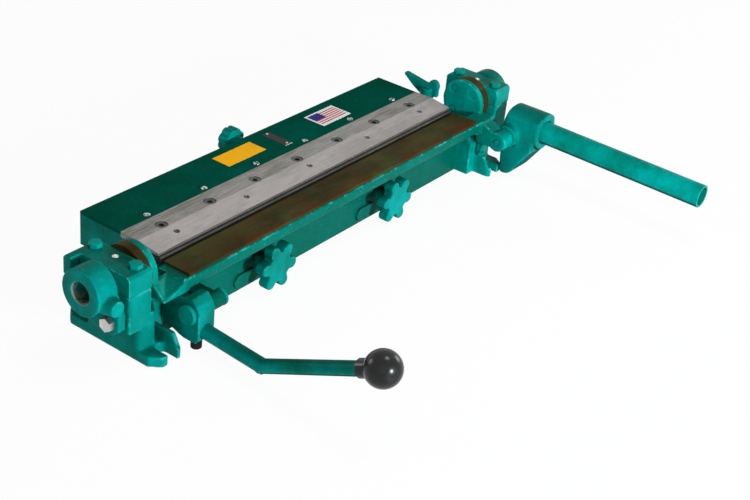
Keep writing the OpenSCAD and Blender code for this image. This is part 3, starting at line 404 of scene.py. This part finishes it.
cast_enamel = teal_enamel("teal_casting_enamel", cast=True)
# The right end frame and cap get a copy of the casting enamel painted 1.35 times brighter, as painted
# light.
right_lit_enamel = teal_enamel("right_casting_enamel", tint=1.35, cast=True)
for end, enamel in (("left", cast_enamel), ("right", right_lit_enamel)):
    casting(end + "_end_frame", enamel, grain=0.0015, passes=9)
    casting(end + "_bearing_cap", enamel, grain=0.001, passes=12)

# Steel hexagon bolts, painted over with the castings: two hold each cap
# down, and two hold each end frame to the bed's end plate.
bolt_enamel = teal_enamel("painted_bolt", tint=1.15, upward_darkening=0)
eased("cap_bolts", bolt_enamel, width=0.0012, segments=2)
eased("end_frame_bolts", bolt_enamel, width=0.001, segments=2)

# The oil cups are small zinc plated ball oilers, pressed into the top of
# the bearing caps after painting.
zinc = ground_steel("zinc_plate", (0.52, 0.51, 0.49), 0.22, (60, 60, 60), (0.45, 0.42, 0.38))
eased("oil_cups", zinc, width=0.0006)

# The bushes are turned from bronze and pressed in: large ones in the
# apron's bearings, small ones in the bed's walls for the cross shaft.
bronze = ground_steel("bronze", (0.5, 0.31, 0.12), 0.32, (50, 50, 50), (0.3, 0.17, 0.06))
for bushes in ("bearing_bushes", "shaft_bushes"):
    paint_node(bushes, bronze)

# The rest screw is a steel set screw with a lock nut, painted over. It stands
# in the right foot's rib, and the apron's lug comes down on it.
eased("apron_rest_screw", bolt_enamel, width=0.0007, segments=2)

# The guide posts are ground steel pins pressed into the bed's floor. The
# clamp beam slides up and down on them.
bright = ground_steel("ground_steel", (0.3, 0.295, 0.28), 0.3, stain=(0.15, 0.14, 0.13))
paint_node("guide_posts", bright)

# The clamp beam is an iron casting that closes the bed from above and rises
# eight millimetres on its posts. It is painted with the machine.
enamel = teal_enamel("teal_enamel")
eased("clamp_beam", enamel, width=0.002)

# The yokes are milled steel blocks with a window, in which the eccentrics
# run. Black screws through their flanges hold them under the clamp beam.
turned = ground_steel("turned_steel", (0.4, 0.4, 0.41), 0.3, (40, 40, 40), (0.24, 0.21, 0.18))
eased("clamp_yokes", turned, width=0.0007, segments=2)
paint_node("yoke_screws", black_oxide)

# The clamp drive: a ground cross shaft in the bed carries two eccentrics and
# a crank arm, both of plain machined steel. A flat drag link joins the arm's
# ground pin to the one in the lever's hub.
for turned_piece in ("drag_link", "crank_arm", "clamp_eccentrics"):
    eased(turned_piece, turned, width=0.0007, segments=2)
for ground_piece in ("cross_shaft", "arm_crank_pin", "hub_crank_pin"):
    paint_node(ground_piece, bright)

# The nose bar is a long bar of bare tool steel that presses the sheet down.
# It is ground in two facets that meet in a crease between its two rows of
# screws: a grey rear one and a brighter, scratched front one.
crease_share = 0.64
rear_row, front_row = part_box("nose_screws"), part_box("nose_edge_screws")
crease = ((rear_row[0].y + rear_row[1].y) * crease_share
          + (front_row[0].y + front_row[1].y) * (1 - crease_share)) / 2
nose_steel = Finish("nose_steel", metallic=1.0)
drag = nose_steel.noise(5, 5, 0.75, (5, 90, 90))
patch = nose_steel.noise(10, 5, 0.7, (1, 2.5, 2.5))
pit = nose_steel.noise(420, 3, 0.7).over(0.62, 0.05)
rear = nose_steel.along(1).over(crease, 0.0006)
grey = nose_steel.blend(rear, (0.34, 0.315, 0.31), (0.21, 0.205, 0.19))
grey = nose_steel.blend(patch.over(0.52, 0.08) * (rear * 0.3 + 0.3), grey, (0.1, 0.095, 0.08))
grey = nose_steel.blend(drag.over(0.55, 0.05) * 0.4, grey, (0.42, 0.41, 0.38))
grey = nose_steel.blend(pit * (rear * 0.3 + 0.2), grey, (0.05, 0.045, 0.035))
nose_steel.lay(grey, drag * 0.3 + patch * 0.3 + 0.2, nose_steel.bump(drag + pit * -0.5, 0.0001, 0.7))
eased("nose_bar", nose_steel, width=0.0005, segments=2)

# Two rows of black oxide screws are let into the nose bar: socket screws that
# hold it to the clamp beam, and small screws in its front facet.
eased("nose_screws", black_oxide, width=0.0003, segments=2)
paint_node("nose_edge_screws", black_oxide)

# The top cover is a flat steel plate laid on the clamp beam behind the nose
# bar. Its enamel is dark green, and darker still where it faces up.
cover_enamel = teal_enamel("cover_enamel", tint=0.5, upward_darkening=0.85)
cover_enamel.shader.inputs["Specular IOR Level"].default_value = 0.0
eased("top_cover", cover_enamel, width=0.0012, segments=2)

# The cover screws stand in a row along the nose bar, with low round heads.
# They were painted with the cover, and wear has rubbed them bright.
worn_head = Finish("worn_screw_head", metallic=0.4)
rubbed = worn_head.noise(310, 2, 0.5).over(0.52, 0.06)
worn_head.lay(worn_head.blend(rubbed, (0.0, 0.05, 0.03), (0.7, 0.7, 0.68)), rubbed * -0.2 + 0.5)
eased("cover_screws", worn_head, width=0.0004, segments=2)

# The small plate is thin steel, enamelled dark with a pale rim at its near
# edge. It is bare, and two rivets hold it to the cover.
rim_width = 0.0012
plate_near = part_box("small_plate")[0].y
tag = Finish("tag_enamel", specular=0.1)
worn = tag.noise(300, 4, 0.7).over(0.58, 0.05) * 0.4
dark = tag.blend(worn, (0.012, 0.008, 0.008), (0.07, 0.05, 0.045))
beyond_rim = tag.along(1).over(plate_near + rim_width, 0.0002)
tag.lay(tag.blend(beyond_rim, (0.5, 0.5, 0.45), dark), rough=0.4)
paint_node("small_plate", tag)
paint_node("plate_rivets", zinc)

# The yellow label is a plastic film stuck on the cover, printed a plain
# yellow and marked by oily fingers.
print_film = Finish("yellow_film", specular=0.05)
dirt = print_film.noise(70, 4, 0.6)
print_film.lay(print_film.blend(dirt.over(0.66, 0.1) * 0.25, (1.0, 0.46, 0.0), (0.4, 0.2, 0.02)),
               dirt * 0.2 + 0.3)
paint_node("yellow_label", print_film)

# The striped label is a printed film too: red and white stripes and a plain
# blue corner inside a white margin.
stripe_count, side_margin, end_margin = 13, 0.05, 0.08
low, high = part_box("striped_label")
flag = Finish("striped_film", specular=0.05)
across = (flag.along(0) - low.x) / (high.x - low.x)
up = (flag.along(1) - low.y) / (high.y - low.y)
inside = (across.over(side_margin, 0.004) * (1 - across.over(1 - side_margin, 0.004))
          * up.over(end_margin, 0.006) * (1 - up.over(1 - end_margin, 0.006)))
pairs = (up - end_margin) * (stripe_count / 2 / (1 - 2 * end_margin))
red = flag.node("ShaderNodeMath", {"operation": "FRACT"}, {0: pairs}).over(0.5, 0.06)
corner = (1 - across.over(0.42, 0.004)) * up.over(0.46, 0.006)
stripes = flag.blend(red, (0.8, 0.8, 0.8), (0.5, 0.02, 0.03))
stripes = flag.blend(corner, stripes, (0.01, 0.008, 0.17))
flag.lay(flag.blend(inside, (0.82, 0.82, 0.82), stripes), rough=0.35)
paint_node("striped_label", flag)

# The apron is a cast iron bar with a disc at each end and a horn at the
# right. It swings up about the bend line and folds the sheet.
plate_low, plate_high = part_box("apron_face_plate")


def left_end(work):
    """Leaves a narrow lip beside the plate; the casting falls away to its disc."""
    lip, disc, lip_back = 0.3145, 0.3385, -0.036
    first_drop, last_drop, thin = 0.004, 0.016, 0.0006
    for x in (-lip, -lip - thin):
        bmesh.ops.bisect_plane(work, geom=work.verts[:] + work.edges[:] + work.faces[:],
                               plane_co=(x, 0, 0), plane_no=(1, 0, 0))
    for vert in work.verts:
        out = -vert.co.x - lip
        on_top = abs(vert.co.z - plate_low.z) < 0.0002
        if out > 0.0005 and on_top and vert.co.y < lip_back:
            vert.co.z -= first_drop + (last_drop - first_drop) * min(1, out / (disc - lip))


# The apron's enamel is painted 1.3 times brighter, painted light that lifts its end discs; up to the discs
# it is blended back towards a darker green.
apron_enamel = teal_enamel("apron_enamel", tint=1.3, cast=True, span=0.314)
casting("apron", apron_enamel, grain=0.0014, passes=8, fettle=left_end)

# The face plate is flat steel, brown with old oil and rusty along its near
# edge. Black screws from below hold it to the apron.
oiled = Finish("oiled_steel", specular=0.02)
pool = oiled.noise(9, 5, 0.6, (1, 2.4, 1))
haze = oiled.noise(34, 3, 0.6)
near_edge = 1 - (oiled.along(1) - plate_low.y).over(0.011, 0.009)
rust = oiled.noise(24, 4, 0.7).over(0.5, 0.1)
brown = oiled.blend(pool.over(0.5, 0.1), (0.018, 0.021, 0.006), (0.052, 0.052, 0.017))
brown = oiled.blend((near_edge * 0.5 + 0.3) * rust, brown, (0.075, 0.018, 0.003))
oiled.lay(brown, haze * 0.25 + pool * 0.12 + 0.3, oiled.bump(haze, 0.0002, 0.3))
eased("apron_face_plate", oiled, width=0.0005, segments=2)
paint_node("face_plate_screws", black_oxide)

# The trunnions are turned steel pins with a round flange, brown with oil.
# Four painted screws in the apron's end disc hold each flange, and the pin
# turns in the end frame's bearing.
for trunnion in ("left_trunnion", "right_trunnion"):
    eased(trunnion, oiled, width=0.0006, segments=2)
eased("trunnion_screws", bolt_enamel, width=0.0005, segments=2)

# The stop collar is a cast ring on the left trunnion's outer end, with a
# screw boss and a lug. Its bore is worn to bare metal, and the lug carries a
# zinc plated stop bolt.
worn_radius = 0.0147
hole_low, hole_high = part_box("right_collar")
collar_enamel = teal_enamel("collar_enamel", cast=True)
from_axis = collar_enamel.node("ShaderNodeMapping", {}, {
    "Vector": collar_enamel.place, "Scale": (0, 1, 1),
    "Location": (0, 0, -(hole_low.z + hole_high.z) / 2)})
radius = collar_enamel.node("ShaderNodeVectorMath", {"operation": "LENGTH"}, {0: from_axis}, out=1)
rubbed = (1 - radius.over(worn_radius, 0.0003)) * collar_enamel.noise(60, 3).over(0.53, 0.04)
colour_socket = collar_enamel.shader.inputs["Base Color"]
painted = Flow(collar_enamel, colour_socket.links[0].from_socket)
collar_enamel.plug(colour_socket, collar_enamel.blend(rubbed, painted, (0.3, 0.3, 0.28)))


def boss_draft(work):
    """The screw boss narrows to its end, as a pattern's draft leaves it."""
    narrowing, raised = 0.24, 0.0022
    front = min(vert.co.y for vert in work.verts)
    ring = [vert for vert in work.verts if vert.co.y < front + 0.0002]
    middle = sum((vert.co for vert in ring), Vector()) / len(ring)
    for vert in ring:
        vert.co += (vert.co - middle) * -narrowing + Vector((0, 0, raised))


casting("stop_collar", collar_enamel, grain=0.0009, passes=12, fettle=boss_draft)
eased("stop_bolt", zinc, width=0.0012)

# The right collar is a plain cast ring that keeps the apron from drifting
# sideways. A black set screw holds it on the right trunnion.
casting("right_collar", cast_enamel, grain=0.0009, passes=10)
paint_node("collar_set_screws", black_oxide)

# The handle bracket is an iron casting with a socket for the pipe. A painted
# stud holds it to the apron's right horn, and a dowel keeps it from turning.
pipe_low, pipe_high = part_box("handle_pipe")


def barrel_top(work):
    """Cuts the socket's top in narrow strips and lays them round the pipe."""
    strip, strips_a_side = 0.003, 8
    lowest_share, corner_share = 0.45, 0.84
    middle = (pipe_low + pipe_high) / 2
    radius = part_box("handle_bracket")[1].z - middle.z
    for step in range(-strips_a_side, strips_a_side + 1):
        bmesh.ops.bisect_plane(work, geom=work.verts[:] + work.edges[:] + work.faces[:],
                               plane_co=(middle.x + step * strip, 0, 0), plane_no=(1, 0, 0))
    for vert in work.verts:
        out, up = vert.co.x - middle.x, vert.co.z - middle.z
        in_corner = up > radius * lowest_share and hypot(out, up) > radius * corner_share
        if abs(out) < radius and in_corner:
            vert.co.z = middle.z + (radius * radius - out * out) ** 0.5


casting("handle_bracket", cast_enamel, grain=0.0014, passes=30, fettle=barrel_top)
eased("bracket_bolts", bolt_enamel, width=0.001, segments=2)

# The handle is a length of painted water pipe with a sawn open end. It is
# pushed into the bracket's socket, and a black set screw holds it.
# The pipe's enamel is a copy painted 1.4 times brighter, as painted light.
pipe_lit_enamel = teal_enamel("pipe_lit_enamel", tint=1.4, upward_darkening=0.15)
eased("handle_pipe", pipe_lit_enamel, width=0.0005, segments=2)
paint_node("handle_set_screw", black_oxide)

# The clamp lever turns on a large turned bolt in the bed's arm. A steel ring
# beyond the arm keeps the bolt in, and both are painted over.
eased("lever_pivot_bolt", bolt_enamel, width=0.0012)
eased("pivot_ring", bolt_enamel, width=0.0004, segments=2)

# The lever's hub is an iron casting, bored for the pivot bolt and the drag
# link's pin, with a socket for the rod. It is painted with the machine.
casting("lever_hub", cast_enamel, grain=0.0008, passes=14)

# The lever's rod is a round steel bar, bent once and painted with the
# machine. It is driven into the hub's socket.
eased("lever_rod", enamel, width=0.0004, segments=2)

# The ball knob is moulded from glossy black plastic, a little scuffed. Its
# neck is pushed on the rod's end.
ball_plastic = Finish("ball_plastic", specular=0.25)
scuff = ball_plastic.noise(60, 4, 0.6)
ball_plastic.lay(ball_plastic.blend(scuff.over(0.6, 0.1) * 0.3, (0.008, 0.008, 0.008), (0.05, 0.05, 0.05)),
                 scuff * 0.2 + 0.12)
paint_node("ball_knob", ball_plastic)

# The bumper is a stub of dusty black rubber, fixed under the hub. The lever
# comes down on the bench with it.
rubber = Finish("bumper_rubber", specular=0.1)
dust = rubber.noise(160, 3, 0.6)
rubber.lay(rubber.blend(dust.over(0.6, 0.1) * 0.4, (0.01, 0.01, 0.01), (0.05, 0.05, 0.05)),
           dust * 0.2 + 0.5, rubber.bump(dust, 0.0002, 0.4))
eased("lever_bumper", rubber, width=0.0012)

# The hand knobs are small rounded castings, painted with the machine: two
# stars in front, a fluted one behind and one with a wing at the right. Each
# turns on a ground steel stud, in the bed, the clamp beam or the right foot.
for knob in ("left_front_knob", "right_front_knob", "rear_knob", "wing_knob"):
    casting(knob, cast_enamel, grain=0.0008, passes=34)
for studs in ("front_knob_studs", "rear_knob_stud", "wing_knob_stud"):
    paint_node(studs, bright)
